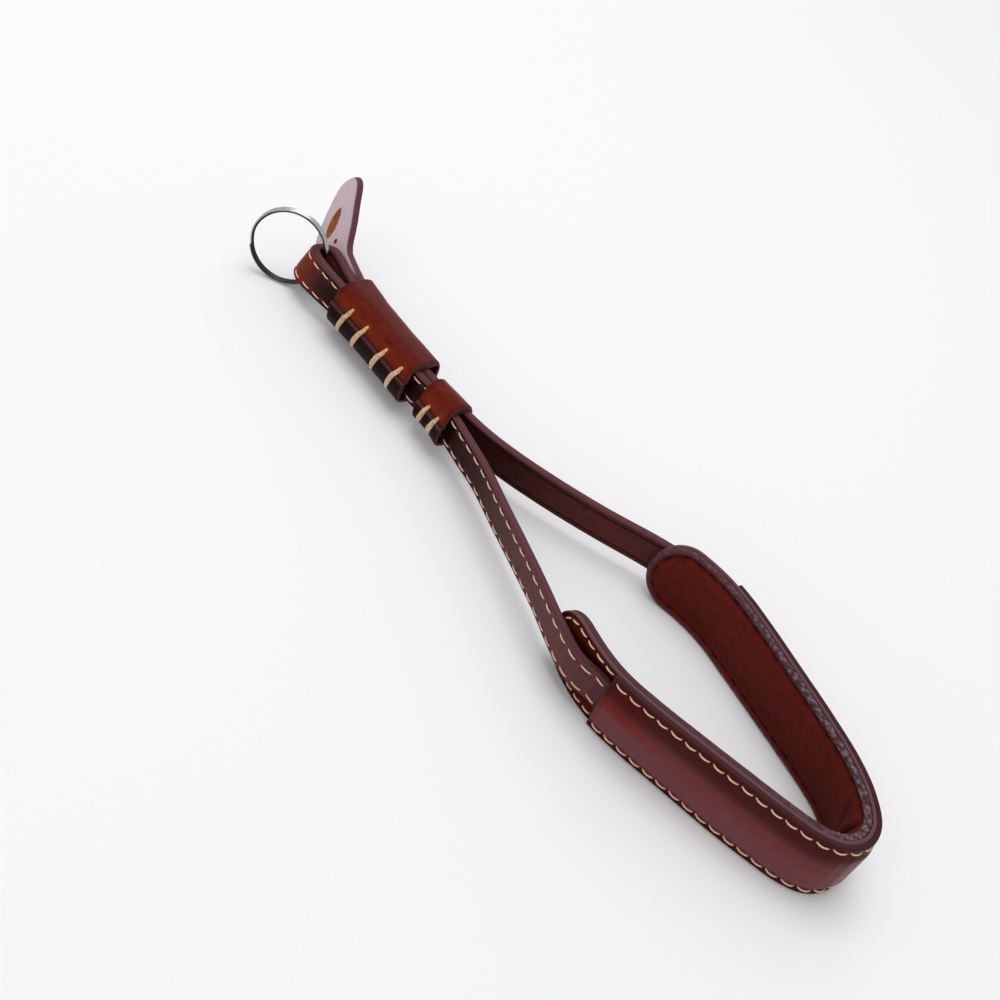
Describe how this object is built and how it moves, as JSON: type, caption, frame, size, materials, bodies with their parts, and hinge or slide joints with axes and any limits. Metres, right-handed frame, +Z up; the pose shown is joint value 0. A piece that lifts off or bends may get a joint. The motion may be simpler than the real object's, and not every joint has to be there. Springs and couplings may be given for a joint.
{
  "type": "camera wrist strap",
  "caption": "Leather wrist strap for a camera: a looped strap with a padded wrist section, laced keepers, a split ring and a guard tab.",
  "frame": {"origin": "middle of the footprint, on the surface that the lower edges of the pad and the ring stand on", "axes": "+X along the loop, from the split ring to the bend of the wrist section; +Z up, across the width of the leather; +Y from the near leg to the far leg"},
  "size_m": [0.268, 0.0656, 0.0333],
  "materials": {
    "ring_steel": "polished",
    "tab_leather": "smooth, waxed",
    "strap_leather": "smooth, waxed",
    "keeper_leather": "smooth, waxed",
    "liner_leather": "matte, soft",
    "base_leather": "smooth",
    "cover_leather": "smooth, waxed"
  },
  "bodies": {
    "root": {"split_ring": "ring_steel", "guard_tab": "tab_leather", "strap": "strap_leather", "keeper_large": "keeper_leather", "keeper_small": "keeper_leather", "pad_liner": "liner_leather", "pad_base": "base_leather", "pad_cover": "cover_leather"}
  },
  "joints": []
}
